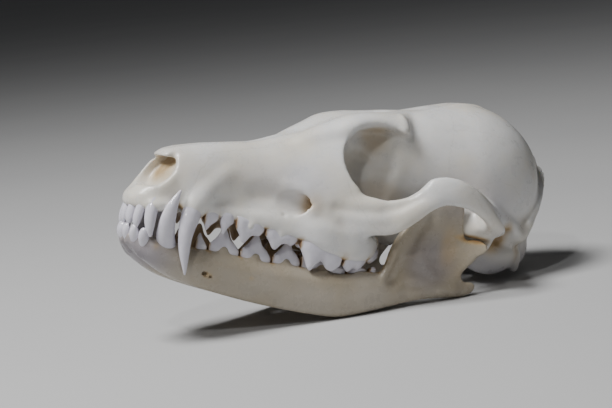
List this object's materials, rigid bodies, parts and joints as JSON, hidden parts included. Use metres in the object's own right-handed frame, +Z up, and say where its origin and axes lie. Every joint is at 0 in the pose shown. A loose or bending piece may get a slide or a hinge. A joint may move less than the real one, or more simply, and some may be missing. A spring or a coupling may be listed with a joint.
{
  "type": "fox skull",
  "caption": "Fox skull with closed lower jaw: long tapering muzzle, canine and cheek teeth, open eye sockets, bowed cheek arches and a domed braincase, resting on its jaw.",
  "frame": {"origin": "centre of the skull's bounding box, on the surface that the lower jaw rests on", "axes": "+X towards the back of the head, so the nose points to -X; +Y towards the skull's right side; +Z up, with the skull tipped nose up as it rests on its jaw"},
  "size_m": [0.1576, 0.0778, 0.0623],
  "materials": {
    "cranium_bone": "satin",
    "jaw_bone": "satin",
    "enamel": "gloss"
  },
  "bodies": {
    "root": {"cranium": "cranium_bone", "left_jaw_half": "jaw_bone", "right_jaw_half": "jaw_bone", "left_upper_incisor_1": "enamel", "left_upper_incisor_2": "enamel", "left_upper_incisor_3": "enamel", "left_upper_canine": "enamel", "left_upper_premolar_1": "enamel", "left_upper_premolar_2": "enamel", "left_upper_premolar_3": "enamel", "left_upper_premolar_4": "enamel", "left_upper_molar_1": "enamel", "left_upper_molar_2": "enamel", "right_upper_incisor_1": "enamel", "right_upper_incisor_2": "enamel", "right_upper_incisor_3": "enamel", "right_upper_canine": "enamel", "right_upper_premolar_1": "enamel", "right_upper_premolar_2": "enamel", "right_upper_premolar_3": "enamel", "right_upper_premolar_4": "enamel", "right_upper_molar_1": "enamel", "right_upper_molar_2": "enamel", "left_lower_incisor_1": "enamel", "left_lower_incisor_2": "enamel", "left_lower_incisor_3": "enamel", "left_lower_canine": "enamel", "left_lower_premolar_1": "enamel", "left_lower_premolar_2": "enamel", "left_lower_premolar_3": "enamel", "left_lower_premolar_4": "enamel", "left_lower_molar_1": "enamel", "left_lower_molar_2": "enamel", "left_lower_molar_3": "enamel", "right_lower_incisor_1": "enamel", "right_lower_incisor_2": "enamel", "right_lower_incisor_3": "enamel", "right_lower_canine": "enamel", "right_lower_premolar_1": "enamel", "right_lower_premolar_2": "enamel", "right_lower_premolar_3": "enamel", "right_lower_premolar_4": "enamel", "right_lower_molar_1": "enamel", "right_lower_molar_2": "enamel", "right_lower_molar_3": "enamel", "left_upper_extra_premolar": "enamel"}
  },
  "joints": []
}
